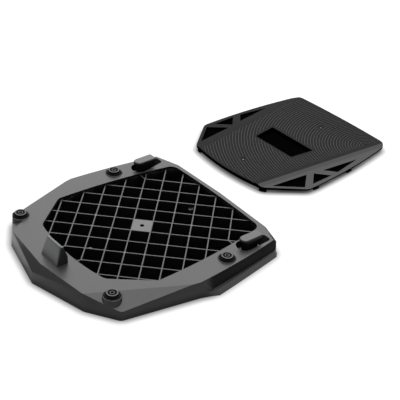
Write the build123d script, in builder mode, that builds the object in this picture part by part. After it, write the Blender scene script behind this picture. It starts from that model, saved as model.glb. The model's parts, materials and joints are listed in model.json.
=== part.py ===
from build123d import *
import os
from math import cos, radians, sin, sqrt

os.makedirs("parts", exist_ok=True)

# Mounting plate for a motorcycle top case, with its clip-on cover. Millimetres, +Z up, +Y to the
# front edge with the two case hooks. The origin is on the underside, straight below the middle
# hole of the grille. Points are given for the right half (+X), and the left half mirrors them.

# Body: its deck, with the outline of the top edge
body_height = 28.0
deck_thickness = 3.0
wall = 3.0
front_y = 146.0
shoulder_x, shoulder_y = 98.0, 143.0
front_corner_x, front_corner_y = 136.5, 130.5
side_x, side_y = 150.0, 57.0
kink_x, kink_y = 157.0, -16.5
kink_run, kink_curl = 2.0, 0.1
rear_corner_x, rear_corner_y = 135.5, -133.5
haunch_x, haunch_y = 87.0, -162.5
tail_y = -184.5
corner_radius = 9.0

# Body: how far the front wall stands out from the deck, below a bevel
front_bevel = 9.0
front_bevel_fall = 45.0

# Body: how far each point of the bottom edge stands out from the top edge
front_corner_lean = 2.5
side_lean = 3.0
kink_flare_x, kink_flare_y = 8.8, 27.0
kink_return_x, kink_return_y = 4.0, 31.0
haunch_lean = 4.5
tail_lean = 1.0

# Facets that fall away from the flat deck: a line on the deck and an angle below it
haunch_facet_rear = (87.0, -164.0)
haunch_facet_front = (154.0, -31.0)
haunch_facet_fall = 24.0
tail_facet_y = -172.0
tail_facet_fall = 35.0

# Foot rail along the lower side, forward of the kink
foot_height = 9.5
foot_draft = 20.0
foot_rear_x, foot_rear_y = 166.9, 9.3
foot_side_x, foot_side_y = 156.6, 69.0
foot_front_x, foot_front_y = 144.3, 134.0
foot_nose_x, foot_nose_y = 138.5, 140.5
foot_depth = 12.0

# Opening in the deck
opening_front_y = 139.0
opening_front_bow = 3.0
opening_corner_x = 101.5
opening_corner_radius = 14.0
opening_side_x, opening_side_y = 115.5, 45.5
opening_end_x, opening_end_y = 121.5, -63.5
opening_cut_x, opening_cut_y = 77.5, -119.5
opening_rear_y = -128.5
opening_cut_radius = 14.0
opening_wall = 2.5

# Grille of crossed ribs, at 45 degrees to the plate. Ribs are numbered in pitches from the middle,
# and short_ribs gives the numbers of those that end at a crossing.
grille_pitch = 28.0
grille_drop = 3.6
rib_lines = 10
rib_thickness = 1.6
rib_depth = 20.0
short_ribs = {4.5: 0.5, -2.5: 3.5, -3.5: 2.5}
boss_ring = 3
node_boss_diameter = 3.8
middle_hole_diameter = 6.5
middle_web_thickness = 3.0
post_y = 90.0
post_diameter = 6.5
post_bore = 2.6
post_drop = 4.8
post_web = 2.0

# Stiffening ribs under the deck
stiffener_thickness = 2.0
stiffener_foot = 5.0
side_stiffeners = (-78.0, -40.0, 4.0, 60.0)
tail_stiffeners = (-60.0, 0.0, 60.0)

# Pockets in the deck, with a case hook standing in each
pocket_x = 125.0
pocket_width = 26.0
pocket_rear_y, pocket_front_y = 74.5, 128.0
pocket_front_width = 15.5
pocket_front_shift = 2.5
pocket_front_radius = 5.0
pocket_depth = 11.0
pocket_ramp = 12.0
pocket_wall = 2.5

# Case hooks
hook_x = 125.5
hook_rear_y = 78.5
hook_length = 36.0
hook_cap_width = 16.0
hook_cap_thickness = 5.0
hook_height = 13.0
hook_cap_bevel = 1.3
hook_front_radius = 4.0
hook_stem_width = 9.5
hook_stem_inset = 4.0
hook_foot_width = 15.0
hook_foot_inset = 2.0
hook_foot_thickness = 3.0

# Rear tongue that the case's back edge bears on
tongue_width = 40.5
tongue_rear_y = -158.0
tongue_base_depth = 18.0
tongue_knee_depth, tongue_knee_height = 15.0, 10.4
tongue_top_depth = 3.5
tongue_height = 27.0
tongue_taper = 1.3
tongue_round = 1.2

# Rubber buffers and the bosses that carry them
pad_diameter = 20.0
pad_height = 3.0
pad_stem_diameter = 8.0
pad_head_diameter = 10.5
pad_head_height = 2.0
stem_clearance = 0.15
front_pad_x, front_pad_y = 135.0, 46.0
rear_pad_x, rear_pad_y = 113.5, -133.0
boss_height = 3.0
boss_top_diameter = 21.5
boss_base_diameter = 26.5
boss_root = 14.0
boss_wall = 2.5

# Fixing screws, put in from below
screw_diameter = 4.0
screw_grip = 10.0
screw_head_across = 7.0
screw_head_height = 2.8
screw_clearance = 0.15
hook_screw_inset = 9.5
tongue_screw_x = 12.0
tongue_screw_forward = 8.5

# Clip-on cover of the opening
cover_lip = 3.0
cover_crown = 5.5
cover_skin = 2.0
cover_fit = 0.4
cover_skirt_depth = 3.2
cover_skirt_thickness = 2.0
crease_front_x, crease_front_y = 97.0, 128.5
crease_rear_x, crease_rear_y = 69.0, -123.5
crease_fall = 16.0
wing_height = 3.6
wing_fall = 2.2
vault_inset = 9.0
recess_depth = 1.8
recess_wall = 1.6
panel_front_x, panel_front_y = 47.5, 21.5
panel_rear_x, panel_rear_y = 41.5, -22.5
front_window = ((107.0, 64.0), (98.5, -6.0), (115.5, 10.0))
middle_window = ((96.5, -25.5), (116.5, -6.0), (117.0, -48.0))
rear_window = ((92.5, -38.0), (118.5, -68.0), (112.0, -78.0), (84.5, -108.0))
cover_hole_diameter = 3.4
cover_sink_diameter = 6.0
clip_width = 12.0
clip_reach = 7.0
clip_barb = 1.0
clip_barb_height = 1.5
clip_play = 0.5
clip_stations = (38.0, -43.5)

# Where the cover lies when it is taken off
cover_x, cover_y = -79.0, 349.5
cover_turn = 2.0

large = 400.0
deck_z = body_height
grille_z = deck_z - grille_drop
rib_foot_z = grille_z - rib_depth
pocket_floor_z = deck_z - pocket_depth
boss_z = deck_z + boss_height
boss_skin_z = boss_z - deck_thickness
tongue_screw_y = tongue_rear_y + tongue_screw_forward
hook_front_y = hook_rear_y + hook_length
hook_screws = {
    "rear": hook_rear_y + hook_screw_inset,
    "front": hook_front_y - hook_screw_inset,
}
standing = (Align.CENTER, Align.CENTER, Align.MIN)
hanging = (Align.CENTER, Align.CENTER, Align.MAX)
sides = {"right": 1, "left": -1}
turn = radians(cover_turn)
deck_top = Plane.XY.offset(deck_z)
cover_plane = Plane(origin=(cover_x, cover_y, clip_reach), x_dir=(cos(turn), sin(turn), 0))


def both(x, y, *z):
    """A spot and its mirror image."""
    return [(x, y, *z), (-x, y, *z)]


pad_spots = both(front_pad_x, front_pad_y) + both(rear_pad_x, rear_pad_y)


def falling_pair(start, end, fall, base):
    """Planes through two points over base and through their mirror images, falling outwards."""
    planes = []
    for side, points in ((1, (start, end)), (-1, (end, start))):
        first, last = [base.from_local_coords(Vector(side * x, y, *z)) for x, y, *z in points]
        level = Plane(origin=first, x_dir=last - first, z_dir=base.z_dir)
        planes.append(Plane(level * Rot(fall, 0, 0)))
    return planes


def round_corners(sketch, spots, radius):
    """Rounds the corners of a sketch that lie at the spots and at their mirror images."""
    corners = ShapeList()
    for spot in spots:
        for x, y in both(*spot):
            corners.append(sketch.vertices().sort_by_distance((x, y, 0))[0])
    fillet(corners, radius)


def body_edge(corner_out, side_out, kink, haunch_out, tail_out):
    """The closed outline of the body at its top or bottom edge. The kink has three points."""
    shoulder = (shoulder_x, shoulder_y + front_bevel)
    front_corner = (front_corner_x + corner_out, front_corner_y + front_bevel)
    rear_corner = (rear_corner_x, rear_corner_y)
    haunch = (haunch_x + haunch_out, haunch_y)
    with BuildSketch() as face:
        with BuildLine():
            ThreePointArc((-shoulder[0], shoulder[1]), (0, front_y + front_bevel), shoulder)
            right_half = [
                Line(shoulder, front_corner),
                ThreePointArc(front_corner, (side_x + side_out, side_y), kink[0]),
                Polyline(*kink),
                Line(kink[2], rear_corner),
                Line(rear_corner, haunch),
                Line(haunch, (0, tail_y - tail_out)),
            ]
            mirror(right_half, about=Plane.YZ)
        make_face()
        round_corners(face, [front_corner, rear_corner], corner_radius)
    return face.sketch


top_edge = body_edge(
    0,
    0,
    [(kink_x - kink_curl * i**2, kink_y - kink_run * i) for i in range(3)],
    0,
    0,
)
bottom_edge = body_edge(
    front_corner_lean,
    side_lean,
    [
        (kink_x + kink_return_x, kink_y + kink_return_y),
        (kink_x + kink_flare_x, kink_y + kink_flare_y),
        (kink_x, kink_y),
    ],
    haunch_lean,
    tail_lean,
)
shoulder, front_corner = (shoulder_x, shoulder_y), (front_corner_x, front_corner_y)
facet_planes = [
    *falling_pair(haunch_facet_rear, haunch_facet_front, haunch_facet_fall, deck_top),
    *falling_pair((0, tail_facet_y), (haunch_x, haunch_y), tail_facet_fall, deck_top),
]
bevel_planes = [
    *falling_pair(front_corner, shoulder, front_bevel_fall, deck_top),
    *falling_pair(shoulder, (0, front_y), front_bevel_fall, deck_top),
]


def body_walls(inset):
    """The space between the body's walls, drawn in by inset, up to the deck's level."""
    with BuildPart() as space:
        for level, edge in ((0, bottom_edge), (deck_z, top_edge)):
            with BuildSketch(Plane.XY.offset(level)):
                add(edge)
                if inset:
                    offset(amount=-inset, kind=Kind.INTERSECTION)
        loft(ruled=True)
    return space.part


def body_form(inset, drop):
    """The form of the body, drawn in by inset all round and lowered by drop."""
    with BuildPart() as form:
        add(body_walls(inset))
        for plane in [deck_top, *facet_planes, *bevel_planes]:
            with BuildSketch(plane.offset(-drop)):
                Rectangle(2 * large, 2 * large)
            extrude(amount=large, mode=Mode.SUBTRACT)
    return form.part


def foot_rail():
    """The low rail that stands out from both sides, forward of the kink."""
    inner_x = foot_front_x - foot_depth
    with BuildPart() as rail:
        with BuildSketch():
            with BuildLine():
                Polyline(
                    (foot_front_x, foot_front_y),
                    (foot_nose_x, foot_nose_y),
                    (inner_x, foot_nose_y - wall),
                    (inner_x, kink_y + wall),
                    (kink_x - wall / 2, kink_y + wall),
                    (foot_rear_x, foot_rear_y),
                )
                ThreePointArc(
                    (foot_rear_x, foot_rear_y),
                    (foot_side_x, foot_side_y),
                    (foot_front_x, foot_front_y),
                )
            make_face()
        extrude(amount=foot_height, taper=foot_draft)
        mirror(about=Plane.YZ)
    return rail.part


def opening_outline(grow):
    """The opening's outline, drawn out by grow."""
    corner = (opening_corner_x, opening_front_y - opening_front_bow)
    cut = (opening_cut_x, opening_cut_y)
    end = (opening_end_x, opening_end_y)
    with BuildSketch() as face:
        with BuildLine():
            ThreePointArc((-corner[0], corner[1]), (0, opening_front_y), corner)
            ThreePointArc((-cut[0], cut[1]), (0, opening_rear_y), cut)
            right_side = [
                ThreePointArc(corner, (opening_side_x, opening_side_y), end),
                Line(end, cut),
            ]
            mirror(right_side, about=Plane.YZ)
        make_face()
        round_corners(face, [corner], opening_corner_radius)
        round_corners(face, [end, cut], opening_cut_radius)
        if grow:
            offset(amount=grow, kind=Kind.INTERSECTION)
    return face.sketch


def clip_fields(width):
    """Fields of a given width that cross the opening's edge at each of the six clips."""
    across = 4 * clip_width
    with BuildSketch() as fields:
        for y in clip_stations:
            with Locations(*both(opening_end_x, y)):
                Rectangle(across, width)
        for side in sides.values():
            with Locations((side * opening_cut_x, opening_cut_y)):
                Rectangle(across, width, rotation=-45 * side)
    return fields.sketch


def edge_band(outer, inner, width):
    """The stretches of a band along the opening's edge that the clips take up."""
    with BuildSketch() as band:
        add(opening_outline(outer))
        add(opening_outline(inner), mode=Mode.SUBTRACT)
        add(clip_fields(width), mode=Mode.INTERSECT)
    return band.sketch


def crossing(a, b):
    """The place where rib a crosses rib b, both counted in pitches."""
    return (a + b) * grille_pitch / sqrt(2), (a - b) * grille_pitch / sqrt(2)


def grille():
    """The crossed ribs with their bosses, the middle web and the cover's two screw posts."""
    lines = [i - (rib_lines - 1) / 2 for i in range(rib_lines)]
    reach = rib_lines / 2 + 1
    stub = 2 * grille_pitch
    with BuildPart() as ribs:
        with BuildSketch(Plane.XY.offset(grille_z)):
            for a in lines:
                end = short_ribs.get(a, reach)
                with Locations(crossing(a, (end - reach) / 2)):
                    Rectangle((end + reach) * grille_pitch, rib_thickness, rotation=-45)
            mirror(about=Plane.YZ)
            for a, b in short_ribs.items():
                x, y = crossing(a, b)
                if a > 0:
                    with Locations(*both(x + stub / 2, y)):
                        Rectangle(stub, rib_thickness)
                else:
                    with Locations(*both(x, y - stub / 2)):
                        Rectangle(rib_thickness, stub)
            ring = [(a, b) for a in lines for b in lines if abs(a) + abs(b) == boss_ring]
            with Locations(*[crossing(a, b) for a, b in ring]):
                RegularPolygon(node_boss_diameter / 2, 8, major_radius=False)
            add(opening_outline(opening_wall / 2), mode=Mode.INTERSECT)
        extrude(amount=-rib_depth)
        with BuildSketch(Plane.XY.offset(grille_z)):
            Rectangle(grille_pitch, grille_pitch, rotation=45)
        extrude(amount=-middle_web_thickness)
        _, anchor_y = crossing(boss_ring - 0.5, 0.5 - boss_ring)
        with BuildSketch(Plane.XY.offset(grille_z - post_drop)):
            with Locations((0, post_y), (0, -post_y)):
                Circle(post_diameter / 2)
            with Locations((0, (post_y + anchor_y) / 2), (0, -(post_y + anchor_y) / 2)):
                Rectangle(post_web, anchor_y - post_y)
        extrude(amount=post_drop - rib_depth)
        with Locations((0, post_y, grille_z - post_drop), (0, -post_y, grille_z - post_drop)):
            Hole(post_bore / 2, depth=rib_depth - post_drop)
        with Locations((0, 0, grille_z)):
            Hole(middle_hole_diameter / 2, depth=rib_depth)
    return ribs.part


def stiffeners():
    """Ribs that tie the deck to the side walls and to the tail."""
    height = deck_z - stiffener_foot
    with BuildPart() as ribs:
        with Locations(*[(0, y, deck_z) for y in side_stiffeners]):
            Box(2 * foot_rear_x, stiffener_thickness, height, align=hanging)
        tail_length = opening_rear_y - tail_y
        with Locations(*[(x, opening_rear_y - tail_length / 2, deck_z) for x in tail_stiffeners]):
            Box(stiffener_thickness, tail_length, height, align=hanging)
        add(body_form(wall / 2, deck_thickness / 2), mode=Mode.INTERSECT)
    return ribs.part


def pad_bosses():
    """The conical bosses that carry the buffers, trimmed to the body's walls."""
    with BuildPart() as limit:
        add(body_walls(0))
        with BuildSketch(deck_top):
            add(top_edge)
        extrude(amount=boss_height)
    with BuildPart() as bosses:
        with Locations(*[(x, y, deck_z) for x, y in pad_spots]):
            Cone(boss_base_diameter / 2, boss_top_diameter / 2, boss_height, align=standing)
            Cylinder(boss_base_diameter / 2, boss_root, align=hanging)
        add(limit.part, mode=Mode.INTERSECT)
    return bosses.part


def pad_cores():
    """The hollows under the bosses."""
    with BuildPart() as cores:
        with Locations(*[(x, y, boss_skin_z) for x, y in pad_spots]):
            Cylinder(boss_base_diameter / 2 - boss_wall, boss_root, align=hanging)
        add(body_walls(wall), mode=Mode.INTERSECT)
    return cores.part


def pocket_outline(grow):
    """The outline of the two pockets, drawn out by grow."""
    radius = pocket_width / 2
    rear_y = pocket_rear_y + radius
    front_x = pocket_x + pocket_front_shift
    with BuildSketch() as face:
        with BuildLine():
            rear = ThreePointArc(
                (pocket_x + radius, rear_y),
                (pocket_x, pocket_rear_y),
                (pocket_x - radius, rear_y),
            )
            Polyline(
                rear @ 1,
                (front_x - pocket_front_width / 2, pocket_front_y),
                (front_x + pocket_front_width / 2, pocket_front_y),
                rear @ 0,
            )
        make_face()
        fillet(face.vertices().group_by(Axis.Y)[-1], pocket_front_radius)
        mirror(about=Plane.YZ)
        if grow:
            offset(amount=grow, kind=Kind.INTERSECTION)
    return face.sketch


def pocket_hollow():
    """The hollow of the two pockets, with a ramp up to the deck at the front."""
    with BuildPart() as hollow:
        with BuildSketch(Plane.XY.offset(pocket_floor_z)):
            add(pocket_outline(0))
        extrude(amount=pocket_depth)
        with BuildSketch(Plane.YZ):
            Polygon(
                (pocket_front_y - pocket_ramp, pocket_floor_z),
                (pocket_front_y, pocket_floor_z),
                (pocket_front_y, deck_z),
                align=None,
            )
        extrude(amount=large, both=True, mode=Mode.SUBTRACT)
    return hollow.part


def screw(seat):
    """A hexagon-head screw that points up, with its head under the seat."""
    with BuildPart() as body:
        with Locations(seat):
            Cylinder(screw_diameter / 2, screw_grip, align=standing)
        with BuildSketch(Plane(origin=seat)):
            RegularPolygon(screw_head_across / 2, 6, major_radius=False)
        extrude(amount=-screw_head_height)
    return body.part


def pad(x, y):
    """A rubber buffer with a headed stem that holds it in its boss."""
    with BuildPart() as body:
        with Locations((x, y, boss_z)):
            Cylinder(pad_diameter / 2, pad_height, align=standing)
            Cylinder(pad_stem_diameter / 2, deck_thickness, align=hanging)
        with Locations((x, y, boss_skin_z)):
            Cylinder(pad_head_diameter / 2, pad_head_height, align=hanging)
    return body.part


# The moulded plate
with BuildPart() as base_plate:
    add(body_walls(0))
    for plane in [*facet_planes, *bevel_planes]:
        with BuildSketch(plane):
            Rectangle(2 * large, 2 * large)
        extrude(amount=large, mode=Mode.SUBTRACT)
    add(foot_rail())
    add(pad_bosses())
    add(body_form(wall, deck_thickness), mode=Mode.SUBTRACT)
    add(pad_cores(), mode=Mode.SUBTRACT)
    add(stiffeners())
    with BuildSketch(Plane.XY.offset(rib_foot_z)):
        add(opening_outline(opening_wall))
    extrude(amount=rib_depth)
    with BuildSketch(Plane.XY.offset(pocket_floor_z - deck_thickness)):
        add(pocket_outline(pocket_wall))
    extrude(amount=pocket_depth)
    with BuildSketch():
        add(opening_outline(0))
    extrude(amount=large, mode=Mode.SUBTRACT)
    add(grille())
    add(pocket_hollow(), mode=Mode.SUBTRACT)
    with BuildSketch(Plane.XY.offset(deck_z - clip_reach - clip_play)):
        add(edge_band(opening_wall * 2, 0, clip_width + 2 * clip_play))
    extrude(amount=clip_barb_height + 2 * clip_play, mode=Mode.SUBTRACT)
    with Locations(*[(x, y, boss_z) for x, y in pad_spots]):
        Hole(pad_stem_diameter / 2 + stem_clearance, depth=2 * deck_thickness)
    for y in hook_screws.values():
        with Locations(*both(hook_x, y, pocket_floor_z)):
            Hole(screw_diameter / 2 + screw_clearance, depth=2 * deck_thickness)
    with Locations(*both(tongue_screw_x, tongue_screw_y, deck_z)):
        Hole(screw_diameter / 2 + screw_clearance, depth=2 * deck_thickness)
base_plate.part.label = "base_plate"
export_step(base_plate.part, "parts/base_plate.step")

# The two case hooks
for name, side in sides.items():
    x = side * hook_x
    cap_z = deck_z + hook_height
    middle_y = hook_rear_y + hook_length / 2
    tip = hook_cap_width / 2
    with BuildPart() as hook:
        with BuildSketch(Plane.XY.offset(cap_z)) as cap:
            with Locations((x, hook_rear_y + tip)):
                Rectangle(hook_cap_width, hook_length - tip, align=(Align.CENTER, Align.MIN))
                Circle(tip)
            fillet(cap.vertices().group_by(Axis.Y)[-1], hook_front_radius)
        extrude(amount=-hook_cap_thickness)
        chamfer(hook.edges().group_by(Axis.Z)[-1], hook_cap_bevel)
        with BuildSketch(Plane.XY.offset(pocket_floor_z)):
            with Locations((x, middle_y)):
                SlotOverall(hook_length - 2 * hook_stem_inset, hook_stem_width, rotation=90)
        extrude(amount=cap_z - hook_cap_thickness - pocket_floor_z)
        with BuildSketch(Plane.XY.offset(pocket_floor_z)):
            with Locations((x, middle_y)):
                Rectangle(hook_foot_width, hook_length - 2 * hook_foot_inset)
        extrude(amount=hook_foot_thickness)
        for y in hook_screws.values():
            with Locations(Location((x, y, pocket_floor_z), (180, 0, 0))):
                Hole(screw_diameter / 2 + screw_clearance, depth=screw_grip)
    hook.part.label = f"hook_{name}"
    export_step(hook.part, f"parts/hook_{name}.step")

# The rear tongue
with BuildPart() as rear_tongue:
    foot = Plane(origin=(0, tongue_rear_y, deck_z), x_dir=(1, 0, 0), z_dir=(0, -1, 0))
    with BuildSketch(foot):
        Polygon(
            (-tongue_width / 2, 0),
            (tongue_width / 2, 0),
            (tongue_width / 2 - tongue_taper, tongue_height),
            (-tongue_width / 2 + tongue_taper, tongue_height),
            align=None,
        )
    extrude(amount=-tongue_base_depth)
    with BuildSketch(Plane.YZ):
        Polygon(
            (tongue_rear_y, deck_z),
            (tongue_rear_y + tongue_base_depth, deck_z),
            (tongue_rear_y + tongue_knee_depth, deck_z + tongue_knee_height),
            (tongue_rear_y + tongue_top_depth, deck_z + tongue_height),
            (tongue_rear_y, deck_z + tongue_height),
            align=None,
        )
    extrude(amount=tongue_width, both=True, mode=Mode.INTERSECT)
    fillet(rear_tongue.edges().group_by(Axis.Z)[-1], tongue_round)
    bores = both(tongue_screw_x, tongue_screw_y, deck_z)
    with Locations(*[Location(spot, (180, 0, 0)) for spot in bores]):
        Hole(screw_diameter / 2 + screw_clearance, depth=screw_grip)
rear_tongue.part.label = "rear_tongue"
export_step(rear_tongue.part, "parts/rear_tongue.step")

# The four buffers
for name, side in sides.items():
    for end, (x, y) in {
        "front": (front_pad_x, front_pad_y),
        "rear": (rear_pad_x, rear_pad_y),
    }.items():
        buffer = pad(side * x, y)
        buffer.label = f"pad_{end}_{name}"
        export_step(buffer, f"parts/{buffer.label}.step")

# The screws of the hooks and of the tongue
for name, side in sides.items():
    for end, y in hook_screws.items():
        fixing = screw((side * hook_x, y, pocket_floor_z - deck_thickness))
        fixing.label = f"hook_screw_{name}_{end}"
        export_step(fixing, f"parts/{fixing.label}.step")
    fixing = screw((side * tongue_screw_x, tongue_screw_y, deck_z - deck_thickness))
    fixing.label = f"tongue_screw_{name}"
    export_step(fixing, f"parts/{fixing.label}.step")


def above(*planes):
    """The space above several planes."""
    with BuildPart() as space:
        for i, plane in enumerate(planes):
            with BuildSketch(plane):
                Rectangle(2 * large, 2 * large)
            extrude(amount=large, mode=Mode.INTERSECT if i else Mode.ADD)
    return space.part


crease = [(crease_rear_x, crease_rear_y), (crease_front_x, crease_front_y)]
wing_line = [(x, y, wing_height) for x, y in crease]
crease_line = [(x, y, cover_crown) for x, y in crease]
flanks = falling_pair(*crease_line, crease_fall, cover_plane)
wings = falling_pair(*wing_line, wing_fall, cover_plane)


def recess_outlines(grow):
    """The outlines of the middle panel and of the six windows, drawn out by grow."""
    with BuildSketch() as outlines:
        Polygon(
            *both(panel_front_x, panel_front_y),
            *reversed(both(panel_rear_x, panel_rear_y)),
            align=None,
        )
        for window in (front_window, middle_window, rear_window):
            Polygon(*window, align=None)
            Polygon(*[(-x, y) for x, y in window], align=None)
        inside = cover_fit + cover_skirt_thickness
        add(opening_outline(-inside), mode=Mode.INTERSECT)
        if grow:
            offset(amount=grow, kind=Kind.INTERSECTION)
    return outlines.sketch


# The clip-on cover
with BuildPart() as cover:
    with BuildSketch(cover_plane):
        add(opening_outline(cover_lip))
    extrude(amount=cover_crown)
    with BuildSketch(cover_plane):
        Polygon(
            *both(crease_front_x - vault_inset, crease_front_y - vault_inset),
            *reversed(both(crease_rear_x - vault_inset, crease_rear_y + vault_inset)),
            align=None,
        )
    extrude(amount=cover_crown - cover_skin, mode=Mode.SUBTRACT)
    with BuildSketch(cover_plane.offset(-recess_depth - recess_wall)):
        add(recess_outlines(recess_wall))
        add(opening_outline(-cover_fit), mode=Mode.INTERSECT)
    extrude(amount=recess_depth + recess_wall + cover_crown)
    for flank, wing in zip(flanks, wings):
        add(above(flank, wing), mode=Mode.SUBTRACT)
    with BuildSketch(cover_plane.offset(-recess_depth)):
        add(recess_outlines(0))
    extrude(amount=large, mode=Mode.SUBTRACT)
    with BuildSketch(cover_plane):
        add(opening_outline(-cover_fit))
        add(opening_outline(-cover_fit - cover_skirt_thickness), mode=Mode.SUBTRACT)
    extrude(amount=-cover_skirt_depth)
    with BuildSketch(cover_plane):
        add(edge_band(-cover_fit, -cover_fit - cover_skirt_thickness, clip_width))
    extrude(amount=-clip_reach)
    with BuildSketch(cover_plane.offset(-clip_reach)):
        add(edge_band(clip_barb - cover_fit, -cover_fit, clip_width))
    extrude(amount=clip_barb_height)
    crown = cover_plane.offset(cover_crown)
    with Locations(*[crown * Pos(0, y) for y in (post_y, -post_y)]):
        CounterSinkHole(cover_hole_diameter / 2, cover_sink_diameter / 2)
cover.part.label = "cover"
export_step(cover.part, "parts/cover.step")
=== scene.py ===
import json
import math

import bpy
from mathutils import Matrix, Vector


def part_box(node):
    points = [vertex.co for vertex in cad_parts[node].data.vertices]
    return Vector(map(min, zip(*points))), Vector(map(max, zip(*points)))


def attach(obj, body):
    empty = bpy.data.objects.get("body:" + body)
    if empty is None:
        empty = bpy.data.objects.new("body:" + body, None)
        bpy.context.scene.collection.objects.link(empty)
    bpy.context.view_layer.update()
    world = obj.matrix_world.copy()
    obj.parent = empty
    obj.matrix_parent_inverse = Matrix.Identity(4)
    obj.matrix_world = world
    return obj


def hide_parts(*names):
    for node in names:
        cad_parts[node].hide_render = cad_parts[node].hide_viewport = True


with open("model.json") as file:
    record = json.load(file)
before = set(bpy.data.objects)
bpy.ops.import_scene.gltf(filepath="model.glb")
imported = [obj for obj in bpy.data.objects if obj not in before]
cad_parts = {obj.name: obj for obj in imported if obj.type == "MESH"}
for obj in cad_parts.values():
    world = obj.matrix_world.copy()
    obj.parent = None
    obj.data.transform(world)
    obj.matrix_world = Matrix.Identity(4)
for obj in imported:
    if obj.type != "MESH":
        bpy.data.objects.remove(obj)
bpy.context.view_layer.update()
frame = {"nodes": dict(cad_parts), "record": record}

# Looks for the mounting plate of a top case and for its clip-on cover. Metres, in the frame of the
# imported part: +Z up, +Y to the front edge with the case hooks.

MM = 0.001

# The camera: where it stands, where it looks and how it is tilted. Lens and sensor are in millimetres.
CAMERA_PLACE = (1.07731, -0.83476, 0.95524)
CAMERA_AZIMUTH = math.radians(48.841)
CAMERA_ELEVATION = math.radians(32.907)
CAMERA_ROLL = math.radians(4.03)
CAMERA_LENS = 103.07
SENSOR_WIDTH = 36.0

# The studio: the spot that the lamps aim at, where each lamp hangs, its size and its radiance, the
# level of the light from all round, and how far the floor reaches
LAMP_TARGET = (-0.03, 0.16, 0.0)
BACK_LAMP_DISTANCE, BACK_LAMP_HEIGHT = 1.75, 1.9
BACK_LAMP_SIZE, BACK_LAMP_RADIANCE = (3.2, 2.6), 1.7
TOP_LAMP_PLACE = (0.1, 0.0, 2.4)
TOP_LAMP_SIZE, TOP_LAMP_RADIANCE = (1.8, 1.8), 2.4
WORLD_DIM = 0.18
FLOOR_REACH = 8.0

# The cover lies turned about its own middle, as part.py lays it
COVER_MIDDLE = (-79.0 * MM, 349.5 * MM)
COVER_TURN = math.radians(2.0)

# Heights on the cover: its platform, the floor of its windows and of its rectangle, and the ridges
COVER_TOP = 12.5 * MM
RECESS_FLOOR = 5.2 * MM
RIDGE_HEIGHT = 0.7 * MM

# The deck's top, and the two pockets that the hooks stand in
DECK_TOP = 28.0 * MM
POCKET_X, POCKET_HALF = 125.0 * MM, 13.0 * MM
POCKET_REAR, POCKET_RAMP = 74.5 * MM, 116.0 * MM

# Along the plate's front half its side walls and its foot rails stand at least this far out, and
# the rails are this high. The side walls' painted shade and the rails' painted sheen fade in where the half
# starts.
FRONT_HALF_START, FRONT_HALF_FULL = -12.0 * MM, 6.0 * MM
SIDE_WALL_X = 120.0 * MM
RAIL_X, RAIL_TOP = 140.0 * MM, 9.0 * MM

# The buffer bosses stand above the deck: a painted highlight on their lip starts this high over it,
# and the painted shade on the collar over the lip this high
LIP_START, COLLAR_START = 0.1 * MM, 1.2 * MM

# The grille: half the middle web's diagonal, and the square of small round bosses about it
WEB_REACH = 19.0 * MM
BOSS_RING, BOSS_STEP = 59.4 * MM, 39.6 * MM
BOSS_RADIUS = 1.9 * MM

# The tongue lies behind this line, and the hooks lie before it
TONGUE_LIMIT_Y = -130.0 * MM

# Top of the rubber buffers, and the height of their rings
PAD_TOP = 34.0 * MM
RING_RISE = 0.9 * MM


class Value:
    """A number in a shader. Arithmetic on it adds Math nodes to the finish that it belongs to."""

    def __init__(self, finish, socket):
        self.finish = finish
        self.socket = socket

    def math(self, operation, *others):
        node = self.finish.add("ShaderNodeMath", {"operation": operation}, self, *others)
        return Value(self.finish, node.outputs[0])

    def reflected(self, operation, other):
        node = self.finish.add("ShaderNodeMath", {"operation": operation}, other, self)
        return Value(self.finish, node.outputs[0])

    def __add__(self, other):
        return self.math("ADD", other)

    __radd__ = __add__

    def __sub__(self, other):
        return self.math("SUBTRACT", other)

    def __rsub__(self, other):
        return self.reflected("SUBTRACT", other)

    def __mul__(self, other):
        return self.math("MULTIPLY", other)

    __rmul__ = __mul__

    def __abs__(self):
        return self.math("ABSOLUTE")

    def least(self, other):
        return self.math("MINIMUM", other)

    def most(self, other):
        return self.math("MAXIMUM", other)

    def rise(self, low, high):
        """0 below low and 1 above high, with a smooth slope between."""
        settings = {"interpolation_type": "SMOOTHSTEP"}
        node = self.finish.add("ShaderNodeMapRange", settings, self, low, high, 0.0, 1.0)
        return Value(self.finish, node.outputs[0])


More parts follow.
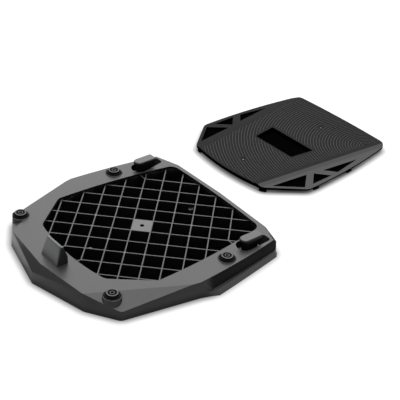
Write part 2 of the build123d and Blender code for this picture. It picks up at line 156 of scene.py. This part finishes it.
class Finish:
    """A material or a world, and the short ways to fill its node tree."""

    def __init__(self, name, world=None):
        self.owner = world or bpy.data.materials.new(name)
        self.owner.use_nodes = True
        self.tree = self.owner.node_tree
        self.tree.nodes.clear()

    def add(self, kind, settings=None, *inputs, **named):
        """A node of one type, with its settings made first and then its sockets' values or links."""
        node = self.tree.nodes.new(kind)
        for key, value in (settings or {}).items():
            setattr(node, key, value)
        for place, value in [*enumerate(inputs), *named.items()]:
            socket = node.inputs[place.replace("_", " ") if isinstance(place, str) else place]
            if isinstance(value, Value):
                value = value.socket
            if isinstance(value, bpy.types.NodeSocket):
                self.tree.links.new(value, socket)
            elif value is not None:
                socket.default_value = value
        return node

    def place(self):
        """The x, y and z of the point that is shaded, in the frame of the part."""
        where = self.add("ShaderNodeTexCoord")
        parts = self.add("ShaderNodeSeparateXYZ", None, where.outputs["Object"])
        return [Value(self, socket) for socket in parts.outputs]

    def facing(self):
        """How far the surface faces +X, +Y and +Z."""
        shape = self.add("ShaderNodeNewGeometry")
        parts = self.add("ShaderNodeSeparateXYZ", None, shape.outputs["Normal"])
        return [Value(self, socket) for socket in parts.outputs]

    def noise(self, scale, detail):
        """Cloudy noise over the part, from 0 to 1, with scale patches to a metre."""
        where = self.add("ShaderNodeTexCoord").outputs["Object"]
        node = self.add("ShaderNodeTexNoise", None, Vector=where, Scale=scale, Detail=detail)
        return Value(self, node.outputs["Fac"])

    def white_rays(self):
        """1 for the rays that see the studio white: the camera's, glossy ones and those let through."""
        rays = self.add("ShaderNodeLightPath").outputs
        camera, glossy, through = (
            Value(self, rays[f"Is {kind} Ray"]) for kind in ("Camera", "Glossy", "Transmission")
        )
        return camera.most(glossy).most(through)

    def blend(self, factor, first, second):
        """A colour between two others."""
        node = self.add("ShaderNodeMix", {"data_type": "RGBA"})
        for place, value in ((0, factor), (6, first), (7, second)):
            value = value.socket if isinstance(value, Value) else value
            if isinstance(value, bpy.types.NodeSocket):
                self.tree.links.new(value, node.inputs[place])
            else:
                node.inputs[place].default_value = value
        return node.outputs[2]

    def bump(self, height, distance, strength):
        """The normal of a surface that height raises by up to distance."""
        node = self.add("ShaderNodeBump", None, Strength=strength, Distance=distance, Height=height)
        return node.outputs["Normal"]

    def skin(self, **sockets):
        """The surface shader, wired to the output."""
        surface = self.add("ShaderNodeBsdfPrincipled", None, **sockets)
        self.close(surface.outputs[0])

    def close(self, shader):
        """Wires a shader to the output of the material or world."""
        kind = "World" if isinstance(self.owner, bpy.types.World) else "Material"
        self.add(f"ShaderNodeOutput{kind}", None, shader)


def grey(level, tint=0.0):
    """A grey of one linear level, a little bluer by tint."""
    return (level * (1 - tint), level * (1 - tint / 2), level * (1 + tint), 1.0)


def hook_pocket_mask(x, y, z):
    """1 inside the two pockets that the hooks stand in, under the deck's top."""
    inside = 1 - abs(abs(x) - POCKET_X).rise(POCKET_HALF, POCKET_HALF + 1.0 * MM)
    ahead = y.rise(POCKET_REAR - 1.0 * MM, POCKET_REAR)
    behind = 1 - y.rise(POCKET_RAMP - 6.0 * MM, POCKET_RAMP)
    below = 1 - z.rise(DECK_TOP - 1.2 * MM, DECK_TOP - 0.5 * MM)
    return inside * ahead * behind * below


def web_mask(x, y):
    """1 on the middle web of the grille and on the small bosses about it."""
    web = 1 - (abs(x) + abs(y)).rise(WEB_REACH, WEB_REACH + 0.8 * MM)
    off_ring = abs(x).most(abs(y)) - BOSS_RING
    along_ring = abs(x).least(abs(y))
    along_ring = along_ring.least(abs(along_ring - BOSS_STEP))
    spread = off_ring * off_ring + along_ring * along_ring
    boss = 1 - spread.rise((0.7 * BOSS_RADIUS) ** 2, (1.1 * BOSS_RADIUS) ** 2)
    return web.most(boss)


def plate_finish():
    """Black moulded plastic with a fine grain: a deck painted grey as lit, walls painted dark as shade, and
    a lighter web.
    """
    finish = Finish("plate_plastic")
    x, y, z = finish.place()
    across, _, up = finish.facing()
    deck = up.rise(0.80, 0.92)
    far_side = (0 - across).rise(0.1, 0.2)
    front_half = y.rise(FRONT_HALF_START, FRONT_HALF_FULL)
    side = abs(x).rise(SIDE_WALL_X - 1.0 * MM, SIDE_WALL_X + 1.0 * MM) * front_half
    rail = abs(x).rise(RAIL_X - 2.0 * MM, RAIL_X + 2.0 * MM) * front_half
    rail = rail * (1 - z.rise(RAIL_TOP, RAIL_TOP + 0.8 * MM))
    pocket = hook_pocket_mask(x, y, z)
    above = z - DECK_TOP
    collar = above.rise(COLLAR_START, COLLAR_START + 0.4 * MM)
    lip = above.rise(LIP_START, LIP_START + 0.4 * MM) * (1 - collar)
    cloud = finish.noise(14.0, 3.0)
    grain = finish.noise(900.0, 2.0)
    # The walls are painted near black as shade, and the foot rails lighter as a painted sheen.
    painted_wall_shade_rail_sheen = finish.blend(rail, grey(0.004, 0.08), grey(0.055, 0.03))
    # The deck is painted grey as lit from above, and the web lighter still.
    painted_lit_deck_colour = finish.blend(web_mask(x, y), grey(0.034, 0.02), grey(0.13, 0.02))
    # A thin painted highlight along the bosses' lip, and painted shade on the collar above it.
    painted_boss_highlight_and_shade = finish.blend(collar, grey(0.11), grey(0.004))
    colour = finish.blend(deck, painted_wall_shade_rail_sheen, painted_lit_deck_colour)
    colour = finish.blend(lip.most(collar), colour, painted_boss_highlight_and_shade)
    clouded = finish.blend(cloud.rise(0.3, 0.7) * 0.35 * deck, colour, grey(0.022))
    # The coat is a painted sheen: weaker on the front side walls as painted shade, stronger on the foot
    # rails and on the walls turned to -X as painted light.
    gloss = (0.62 - side * 0.54 + rail * 0.62 + far_side * 0.38).least(1.0)
    finish.skin(
        Base_Color=clouded,
        Roughness=0.50 - deck * 0.06 + cloud * 0.06,
        Specular_IOR_Level=0.02,
        # The coat is full on the deck and is mostly taken away in the hook pockets and on the boss collars,
        # as painted shade.
        Coat_Weight=(gloss * (1 - deck) + deck) * (1 - pocket.most(collar) * 0.9),
        Coat_Roughness=0.38,
        Normal=finish.bump(grain, 0.06 * MM, 0.6),
    )
    return finish.owner


def hook_finish():
    """Smooth satin black plastic of the hooks and the tongue, painted lighter and glossier on top and on
    the tongue's rear as lit there, and darker elsewhere as painted shade.
    """
    finish = Finish("hook_plastic")
    y = finish.place()[1]
    _, along, up = finish.facing()
    tongue = 1 - y.rise(TONGUE_LIMIT_Y, TONGUE_LIMIT_Y + 10.0 * MM)
    # Painted light: the tops and the tongue's rear face are lighter and carry the coat, as lit there.
    light = up.rise(0.3, 0.95).most((0 - along).rise(0.75, 0.94) * tongue)
    cloud = finish.noise(40.0, 2.0)
    grain = finish.noise(1400.0, 2.0)
    painted_shade_colour = finish.blend(tongue, grey(0.008, 0.05), grey(0.030, 0.08))
    painted_lit_colour = finish.blend(tongue, grey(0.026, 0.06), grey(0.080, 0.03))
    finish.skin(
        Base_Color=finish.blend(light, painted_shade_colour, painted_lit_colour),
        Roughness=0.36 + cloud * 0.08,
        Specular_IOR_Level=0.1,
        Coat_Weight=light,
        Coat_Roughness=0.35,
        Normal=finish.bump(grain, 0.03 * MM, 0.5),
    )
    return finish.owner


def cover_finish():
    """Black moulded plastic of the cover: recesses and faces that don't look up painted near black as
    shade, the left flank painted darker as shade and the other flanks lighter as lit.
    """
    finish = Finish("cover_plastic")
    z = finish.place()[2]
    across, _, up = finish.facing()
    level = up.rise(0.5, 0.95)
    platform = z.rise(COVER_TOP - 0.25 * MM, COVER_TOP - 0.05 * MM)
    left_flank = (0 - across).rise(0.005, 0.03) * (1 - platform)
    open_air = z.rise(RECESS_FLOOR + 0.3 * MM, RECESS_FLOOR + 1.0 * MM)
    crest = z.rise(COVER_TOP, COVER_TOP + RIDGE_HEIGHT)
    cloud = finish.noise(18.0, 3.0)
    grain = finish.noise(1000.0, 2.0)
    # The left flank is painted darker as shade, and the other flanks lighter as lit.
    painted_flank_light_and_shade = finish.blend(left_flank, grey(0.026, 0.02), grey(0.012, 0.06))
    outer_colour = finish.blend(platform, painted_flank_light_and_shade, grey(0.012, 0.04))
    # The coat is weaker on the left flank as painted shade, and stronger on the ridges' crests as a painted
    # sheen.
    gloss = (0.62 - platform * 0.45 + crest * 0.34) * (1 - left_flank * 0.7)
    finish.skin(
        # The recess floors and the faces that don't look up are painted near black as shade, and carry no
        # coat.
        Base_Color=finish.blend(level * open_air, grey(0.0015), outer_colour),
        Roughness=0.52 + cloud * 0.06,
        Specular_IOR_Level=0.0,
        Coat_Weight=level * open_air * gloss,
        Coat_Roughness=0.45,
        Normal=finish.bump(grain, 0.05 * MM, 0.5),
    )
    return finish.owner


def rubber_finish():
    """Matt black rubber in painted shade, with a painted highlight on the tops of the buffers' raised rims
    and rings.
    """
    finish = Finish("buffer_rubber")
    z = finish.place()[2]
    up = finish.facing()[2]
    # Painted highlight: the tops of the rims and rings are lighter and glossier, as lit from above.
    crest = up.rise(0.2, 0.95) * z.rise(PAD_TOP - RING_RISE, PAD_TOP)
    speckle = finish.noise(1600.0, 3.0)
    finish.skin(
        Base_Color=finish.blend(crest, grey(0.002), grey(0.06)),
        Roughness=0.62 + speckle * 0.1,
        Specular_IOR_Level=0.05,
        Coat_Weight=crest,
        Coat_Roughness=0.42,
        Normal=finish.bump(speckle, 0.05 * MM, 0.6),
    )
    return finish.owner


def steel_finish():
    """Zinc-plated steel of the screws."""
    finish = Finish("screw_steel")
    cloud = finish.noise(500.0, 3.0)
    finish.skin(
        Base_Color=finish.blend(cloud, grey(0.42), grey(0.5, 0.03)),
        Metallic=1.0,
        Roughness=0.3 + cloud * 0.15,
        Normal=finish.bump(cloud, 0.03 * MM, 0.4),
    )
    return finish.owner


def soften(node, width, segments):
    """Rounds the sharp edges of a CAD node, after its flat faces are made whole."""
    weld = node.modifiers.new("weld", "WELD")
    weld.merge_threshold = 0.01 * MM
    flats = node.modifiers.new("flats", "DECIMATE")
    flats.decimate_type = "DISSOLVE"
    flats.angle_limit = math.radians(0.5)
    edges = node.modifiers.new("edges", "BEVEL")
    edges.width = width
    edges.segments = segments
    edges.limit_method = "ANGLE"
    edges.angle_limit = math.radians(40)
    edges.harden_normals = True


def new_piece(name, vertices, faces, slot):
    """A smooth piece on the root body, in the finish of a material slot."""
    mesh = bpy.data.meshes.new(name)
    mesh.from_pydata(vertices, [], faces)
    mesh.update()
    for polygon in mesh.polygons:
        polygon.use_smooth = True
    mesh.materials.append(finishes[slot])
    piece = bpy.data.objects.new(name, mesh)
    bpy.context.scene.collection.objects.link(piece)
    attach(piece, "root")
    return piece


# One finish for each material slot of the record
finishes = {
    "plate_plastic": plate_finish(),
    "hook_plastic": hook_finish(),
    "cover_plastic": cover_finish(),
    "buffer_rubber": rubber_finish(),
    "screw_steel": steel_finish(),
}
for part in frame["record"]["subparts"]:
    materials = frame["nodes"][part["node"]].data.materials
    materials.clear()
    materials.append(finishes[part["material_slot"]])

# Rubber buffers: a stem with a head that holds it in its boss, a flange, and a crown with a broad
# rim and a ring on top
PAD_STEM, PAD_HEAD, PAD_HEAD_HEIGHT = 4.0 * MM, 5.25 * MM, 2.0 * MM
PAD_RADIUS, PAD_FLANGE = 9.6 * MM, 0.6 * MM
PAD_CROWN, PAD_CROWN_HEIGHT = 8.5 * MM, 3.0 * MM
PAD_RIM, PAD_EDGE, PAD_DRAFT = 2.1 * MM, 0.65 * MM, 0.2 * MM
PAD_RING, RING_WIDTH = 2.9 * MM, 1.6 * MM
PAD_TURNS = 64


def arc(centre_r, centre_z, radius, start, end, steps):
    """Points of a round stretch in a profile, from a start angle to an end angle in degrees."""
    for i in range(steps + 1):
        angle = math.radians(start + (end - start) * i / steps)
        yield centre_r + radius * math.cos(angle), centre_z + radius * math.sin(angle)


def spin(profile, centre_x, centre_y, turns):
    """A closed body of revolution from a profile that starts and ends on the axis."""
    inner = profile[1:-1]
    vertices, faces = [(centre_x, centre_y, profile[0][1])], []
    for i in range(turns):
        angle = 2 * math.pi * i / turns
        cos, sin = math.cos(angle), math.sin(angle)
        vertices += [(centre_x + radius * cos, centre_y + radius * sin, height) for radius, height in inner]
    vertices.append((centre_x, centre_y, profile[-1][1]))
    last = len(vertices) - 1
    count = len(inner)
    for i in range(turns):
        here, there = 1 + i * count, 1 + (i + 1) % turns * count
        faces.append((0, there, here))
        for j in range(count - 1):
            faces.append((here + j, there + j, there + j + 1, here + j + 1))
        faces.append((here + count - 1, there + count - 1, last))
    return vertices, faces


def buffer_profile(bottom, seat, top):
    """Half the section of a buffer, from the foot of its stem up to the middle of its top."""
    neck = bottom + PAD_HEAD_HEIGHT
    flange = seat + PAD_FLANGE
    groove = top - RING_RISE
    points = [(0, bottom), (PAD_HEAD, bottom), (PAD_HEAD, neck), (PAD_STEM, neck), (PAD_STEM, seat)]
    points += [(PAD_RADIUS, seat), (PAD_RADIUS, flange), (PAD_CROWN - PAD_DRAFT, flange + 0.1 * MM)]
    points += arc(PAD_CROWN - PAD_EDGE, top - PAD_EDGE, PAD_EDGE, 0, 90, 6)
    points += [(PAD_CROWN - PAD_RIM, top), (PAD_CROWN - PAD_RIM - PAD_DRAFT, groove)]
    points.append((PAD_RING + RING_WIDTH / 2, groove))
    points += arc(PAD_RING, groove + 0.1 * MM, RING_WIDTH / 2, 20, 160, 6)
    points += [(PAD_RING - RING_WIDTH / 2, groove), (0, groove)]
    return points


for name in ("pad_front_left", "pad_front_right", "pad_rear_left", "pad_rear_right"):
    low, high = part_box(name)
    profile = buffer_profile(low.z, high.z - PAD_CROWN_HEIGHT, high.z)
    body = spin(profile, (low.x + high.x) / 2, (low.y + high.y) / 2, PAD_TURNS)
    pad = new_piece(f"{name}_ringed", *body, "buffer_rubber")
    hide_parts(name)

# The rear tongue: its rear face leans forward, its front face does so above a knee, and its rear
# edges grow rounder towards the top. The corners are ellipses, and each has a width and a depth.
TONGUE_LEAN, TONGUE_TAPER = 7.8 * MM, 2.0 * MM
TONGUE_KNEE, TONGUE_TIP = 10.4 * MM, 4.2 * MM
TONGUE_FRONT_ROUND, TONGUE_TOP_ROUND = 0.6 * MM, 1.1 * MM
TONGUE_FOOT_ROUND = 2.2 * MM
TONGUE_CORNER_WIDE, TONGUE_CORNER_DEEP = 3.8 * MM, 1.2 * MM


def quarter_turn(steps):
    """Pairs of a sine and a cosine from 0 to 90 degrees."""
    for i in range(steps + 1):
        turn = math.pi / 2 * i / steps
        yield math.sin(turn), math.cos(turn)


def tongue_ring(rise, inset, low, high):
    """The tongue's outline at a share of its height, drawn in by inset."""
    height = high.z - low.z
    knee = TONGUE_KNEE / height
    past_knee = max(0.0, rise - knee) / (1 - knee)
    rear = low.y + TONGUE_LEAN * rise + inset
    front = high.y + (low.y + TONGUE_LEAN + TONGUE_TIP - high.y) * past_knee - inset
    thick = front - rear
    half = high.x - TONGUE_TAPER * rise - inset
    wide = TONGUE_FOOT_ROUND + TONGUE_CORNER_WIDE * rise
    deep = min(TONGUE_FOOT_ROUND + TONGUE_CORNER_DEEP * rise, 0.8 * thick)
    small = min(TONGUE_FRONT_ROUND, 0.15 * thick)
    side = [(half - wide * (1 - sin), rear + deep * (1 - cos)) for sin, cos in quarter_turn(8)]
    side += [(half - small * (1 - cos), front - small * (1 - sin)) for sin, cos in quarter_turn(4)]
    outline = side + [(-x, y) for x, y in reversed(side)]
    return [(x, y, low.z + height * rise) for x, y in outline]


def leaning_tongue():
    """A wedge on the foot of the rear tongue, as tall and as wide as it is."""
    low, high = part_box("rear_tongue")
    height = high.z - low.z
    knee = TONGUE_KNEE / height
    # Rings just above the foot, about the knee and higher up keep the shading of the walls even
    stages = [(rise, 0.0) for rise in (0.0, 0.01, knee - 0.02, knee, knee + 0.02, 0.7)]
    for sin, cos in quarter_turn(6):
        stages.append((1 - TONGUE_TOP_ROUND * (1 - sin) / height, TONGUE_TOP_ROUND * (1 - cos)))
    vertices, faces = [], []
    for rise, inset in stages:
        vertices += tongue_ring(rise, inset, low, high)
    count = len(vertices) // len(stages)
    for i in range(len(stages) - 1):
        for j in range(count):
            a, b = i * count + j, i * count + (j + 1) % count
            faces.append((a, b, b + count, a + count))
    faces.append(tuple(reversed(range(count))))
    faces.append(tuple(range(len(vertices) - count, len(vertices))))
    return vertices, faces


tongue = new_piece("rear_tongue_rounded", *leaning_tongue(), "hook_plastic")
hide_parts("rear_tongue")

# Ridges over the cover's platform: arcs about a point near its front right corner. Their places
# are the cover's own, before it is turned and moved to where it lies.
RIDGE_CENTRE = (93.0 * MM, 107.0 * MM)
RIDGE_PITCH, RIDGE_WIDTH, RIDGE_STEP = 4.8 * MM, 2.8 * MM, 3.0 * MM
RIDGE_NUMBERS = range(2, 64)
RIDGE_SINK = 0.02 * MM
PLATFORM_FRONT, PLATFORM_REAR = 133.5 * MM, -126.0 * MM
PLATFORM_FRONT_HALF, PLATFORM_REAR_HALF = 94.0 * MM, 66.0 * MM
PLATFORM_FRONT_BOW, PLATFORM_FRONT_REACH = 3.0 * MM, 98.0 * MM
PLATFORM_REAR_BOW, PLATFORM_REAR_REACH = 2.0 * MM, 70.0 * MM

# The sunk rectangle: half its width and its place at its front and its rear, and the bare margin
# about it. The holes of the two small screws lie before and behind it.
PANEL_FRONT_HALF, PANEL_FRONT = 47.5 * MM, 21.5 * MM
PANEL_REAR_HALF, PANEL_REAR = 41.5 * MM, -22.5 * MM
PANEL_MARGIN = 2.5 * MM
HOLE_Y, HOLE_CLEAR = 90.0 * MM, 5.0 * MM


def on_platform(x, y):
    """Whether a spot of the cover carries ridges."""
    share = (y - PLATFORM_REAR) / (PLATFORM_FRONT - PLATFORM_REAR)
    half = PLATFORM_REAR_HALF + (PLATFORM_FRONT_HALF - PLATFORM_REAR_HALF) * share
    front = PLATFORM_FRONT - PLATFORM_FRONT_BOW * (x / PLATFORM_FRONT_REACH) ** 2
    rear = PLATFORM_REAR - PLATFORM_REAR_BOW * (1 - (x / PLATFORM_REAR_REACH) ** 2)
    if abs(x) > half or not rear < y < front:
        return False
    share = (y - PANEL_REAR) / (PANEL_FRONT - PANEL_REAR)
    panel_half = PANEL_REAR_HALF + (PANEL_FRONT_HALF - PANEL_REAR_HALF) * share
    beside = abs(x) < panel_half + PANEL_MARGIN
    if beside and PANEL_REAR - PANEL_MARGIN < y < PANEL_FRONT + PANEL_MARGIN:
        return False
    return min(math.hypot(x, y - HOLE_Y), math.hypot(x, y + HOLE_Y)) > HOLE_CLEAR


def cover_spot(x, y):
    """Where a spot of the cover lies in the frame."""
    cos, sin = math.cos(COVER_TURN), math.sin(COVER_TURN)
    return COVER_MIDDLE[0] + x * cos - y * sin, COVER_MIDDLE[1] + x * sin + y * cos


def ridge_spot(radius, angle):
    """A spot of the cover at a distance and an angle from the ridges' centre."""
    return RIDGE_CENTRE[0] + radius * math.cos(angle), RIDGE_CENTRE[1] + radius * math.sin(angle)


def ridge_runs(radius):
    """The runs of angles in which a circle about the ridges' centre lies on the platform.

    It goes round twice, because a run may pass the angle at which the circle starts.
    """
    steps = max(24, int(2 * math.pi * radius / RIDGE_STEP))
    run = []
    for i in range(2 * steps + 1):
        angle = 2 * math.pi * i / steps
        inside = on_platform(*ridge_spot(radius, angle))
        if inside and (i <= steps or run):
            run.append(angle)
        if run and (not inside or i == 2 * steps):
            if len(run) > 3 and run[0] > 0:
                yield run
            run = []
            if i > steps:
                return


def ridge_section(steps=6):
    """Offsets across a ridge and its heights, from one foot over the crest to the other."""
    for i in range(steps + 1):
        share = i / steps
        yield (share - 0.5) * RIDGE_WIDTH, RIDGE_HEIGHT * math.sin(math.pi * share)


def add_ridge(vertices, faces, run, radius):
    """Adds one ridge along a run of angles, closed by a flat underside and two ends."""
    section = list(ridge_section())
    start = len(vertices)
    for i, angle in enumerate(run):
        at_end = i in (0, len(run) - 1)
        for offset, height in section:
            place = cover_spot(*ridge_spot(radius + offset, angle))
            vertices.append((*place, COVER_TOP - RIDGE_SINK + (0 if at_end else height)))
    count = len(section)
    for i in range(len(run) - 1):
        a, b = start + i * count, start + (i + 1) * count
        for j in range(count - 1):
            faces.append((a + j, a + j + 1, b + j + 1, b + j))
        faces.append((a + count - 1, a, b, b + count - 1))


def cover_ridges():
    """All the ridges of the cover, as one body."""
    vertices, faces = [], []
    for number in RIDGE_NUMBERS:
        for run in ridge_runs(number * RIDGE_PITCH):
            add_ridge(vertices, faces, run, number * RIDGE_PITCH)
    return vertices, faces


new_piece("cover_ridges", *cover_ridges(), "cover_plastic")

# Rounded edges: sharper on the plate and the cover than on the hooks
for name in ("base_plate", "cover"):
    soften(frame["nodes"][name], 0.35 * MM, 2)
for name in ("hook_left", "hook_right"):
    soften(frame["nodes"][name], 0.6 * MM, 4)


def area_light(name, place, size, radiance):
    """A soft lamp of one radiance, turned to the object."""
    data = bpy.data.lights.new(name, "AREA")
    data.shape = "RECTANGLE"
    data.size, data.size_y = size
    data.energy = radiance * math.pi * size[0] * size[1]
    lamp = bpy.data.objects.new(name, data)
    lamp.location = place
    lamp.rotation_euler = (Vector(LAMP_TARGET) - Vector(place)).to_track_quat("-Z", "Y").to_euler()
    bpy.context.scene.collection.objects.link(lamp)


def world_light():
    """A white surround for the rays that see it, and a dim one for the light that it sheds."""
    world = bpy.data.worlds.new("studio")
    bpy.context.scene.world = world
    finish = Finish("studio", world)
    dim = finish.add("ShaderNodeBackground", None, grey(1.0), WORLD_DIM)
    white = finish.add("ShaderNodeBackground", None, grey(1.0), 1.0)
    seen = finish.white_rays()
    mixed = finish.add("ShaderNodeMixShader", None, seen, dim.outputs[0], white.outputs[0])
    finish.close(mixed.outputs[0])


# Edges of the plate's footprint on the floor: across, along and distance from the origin
FLOOR_EDGES = (
    (0.0, 1.0, 155.0 * MM),
    (0.291, 0.957, 174.0 * MM),
    (0.991, 0.138, 161.5 * MM),
    (0.983, -0.181, 157.4 * MM),
    (0.550, -0.835, 186.0 * MM),
    (0.244, -0.970, 179.9 * MM),
)

# Under the plate the floor is painted dark as shade, and turns pale between these two distances inside the
# edges.
# A painted shadow dims the floor that lies within this reach of a piece.
FLOOR_DARK_INSET, FLOOR_PALE_INSET = 7.0 * MM, 3.0 * MM
FLOOR_DIM_REACH = 12.0 * MM


def floor():
    """A pale floor that shows white, with the shadows of the parts on it, a painted shadow close about them
    and painted shade under the plate.
    """
    finish = Finish("studio_floor")
    x, y, _ = finish.place()
    beyond = y - FLOOR_EDGES[0][2]
    for across, along, reach in FLOOR_EDGES[1:]:
        beyond = beyond.most(abs(x) * across + y * along - reach)
    outside = beyond.rise(-FLOOR_DARK_INSET, -FLOOR_PALE_INSET)
    # A painted contact shadow: ambient occlusion dims the white glow near the pieces.
    shadow = finish.add("ShaderNodeAmbientOcclusion", None, Distance=FLOOR_DIM_REACH)
    openness = Value(finish, shadow.outputs["AO"])
    # Under the plate the floor is painted near black as shade.
    lit = finish.add("ShaderNodeBsdfDiffuse", None, finish.blend(outside, grey(0.05), grey(0.8)))
    pale = finish.add("ShaderNodeBsdfDiffuse", None, grey(0.3))
    glow = finish.add("ShaderNodeEmission", None, grey(1.0), 0.85)
    bright = finish.add("ShaderNodeAddShader", None, pale.outputs[0], glow.outputs[0])
    shaded = finish.add(
        "ShaderNodeMixShader", None, openness * openness, pale.outputs[0], bright.outputs[0]
    )
    seen = finish.white_rays() * outside
    mixed = finish.add("ShaderNodeMixShader", None, seen, lit.outputs[0], shaded.outputs[0])
    finish.close(mixed.outputs[0])
    mesh = bpy.data.meshes.new("studio_floor")
    far = FLOOR_REACH
    mesh.from_pydata([(-far, -far, 0), (far, -far, 0), (far, far, 0), (-far, far, 0)], [], [(0, 1, 2, 3)])
    mesh.materials.append(finish.owner)
    piece = bpy.data.objects.new("studio_floor", mesh)
    bpy.context.scene.collection.objects.link(piece)


def camera():
    """The camera that took the photograph, as it was worked out from the plate."""
    data = bpy.data.cameras.new("camera")
    data.lens = CAMERA_LENS
    data.sensor_width = SENSOR_WIDTH
    eye = bpy.data.objects.new("camera", data)
    eye.matrix_world = (
        Matrix.Translation(CAMERA_PLACE)
        @ Matrix.Rotation(CAMERA_AZIMUTH, 4, "Z")
        @ Matrix.Rotation(math.pi / 2 - CAMERA_ELEVATION, 4, "X")
        @ Matrix.Rotation(CAMERA_ROLL, 4, "Z")
    )
    bpy.context.scene.collection.objects.link(eye)
    bpy.context.scene.camera = eye


# The back lamp hangs behind the object, as the camera sees it
away = Vector((-math.sin(CAMERA_AZIMUTH), math.cos(CAMERA_AZIMUTH), 0))
back_lamp_place = Vector(LAMP_TARGET) + away * BACK_LAMP_DISTANCE + Vector((0, 0, BACK_LAMP_HEIGHT))
area_light("back_light", back_lamp_place, BACK_LAMP_SIZE, BACK_LAMP_RADIANCE)
area_light("top_light", TOP_LAMP_PLACE, TOP_LAMP_SIZE, TOP_LAMP_RADIANCE)
world_light()
floor()
camera()
bpy.context.scene.view_settings.view_transform = "Standard"
